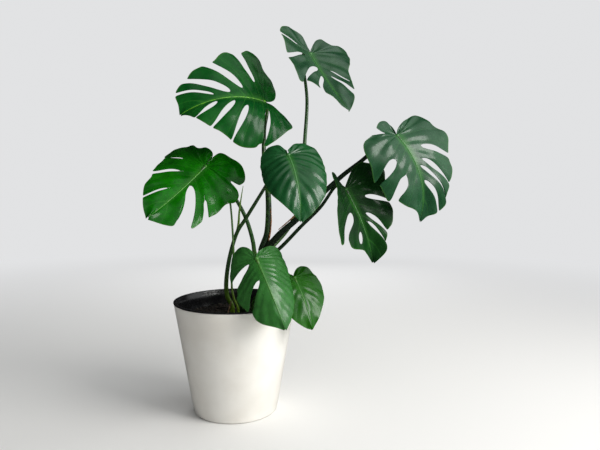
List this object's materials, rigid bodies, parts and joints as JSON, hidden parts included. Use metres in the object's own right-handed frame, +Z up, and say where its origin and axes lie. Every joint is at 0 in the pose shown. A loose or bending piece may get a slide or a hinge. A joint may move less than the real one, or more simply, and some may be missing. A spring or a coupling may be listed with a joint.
{
  "type": "potted monstera plant",
  "caption": "Young monstera with split leaves on long arching stalks, rooted in soil inside a dark liner that hangs in a plain tapered white cover pot",
  "frame": {"origin": "centre of the pot's flat underside, where it stands on the floor or table", "axes": "+Z up out of the pot, the plant's front and camera side along -Y, +X to the right seen from the front"},
  "size_m": [0.6699, 0.3356, 0.8885],
  "materials": {
    "pot_plastic": "satin",
    "liner_plastic": "gloss",
    "potting_soil": "matte",
    "leaf": "satin",
    "stalk": "satin",
    "young_shoot": "satin",
    "dry_sheath": "matte",
    "stick_wood": "matte",
    "root_bark": "matte"
  },
  "bodies": {
    "root": {"cover_pot": "pot_plastic", "inner_pot": "liner_plastic", "soil": "potting_soil", "main_stem": "stalk", "stalk_upper_left": "stalk", "stalk_top": "stalk", "stalk_right": "stalk", "stalk_lower_right": "stalk", "stalk_left": "stalk", "stalk_heart": "stalk", "stalk_front": "stalk", "stalk_front_small": "stalk", "leaf_upper_left": "leaf", "leaf_top": "leaf", "leaf_right": "leaf", "leaf_lower_right": "leaf", "leaf_left": "leaf", "leaf_heart": "leaf", "leaf_front": "leaf", "leaf_front_small": "leaf", "dry_sheath_upper": "dry_sheath", "dry_sheath_right": "dry_sheath", "new_leaf_spike": "young_shoot", "thin_stalk": "young_shoot", "rolled_young_leaf": "young_shoot", "wood_stick": "stick_wood", "aerial_root": "root_bark"}
  },
  "joints": []
}
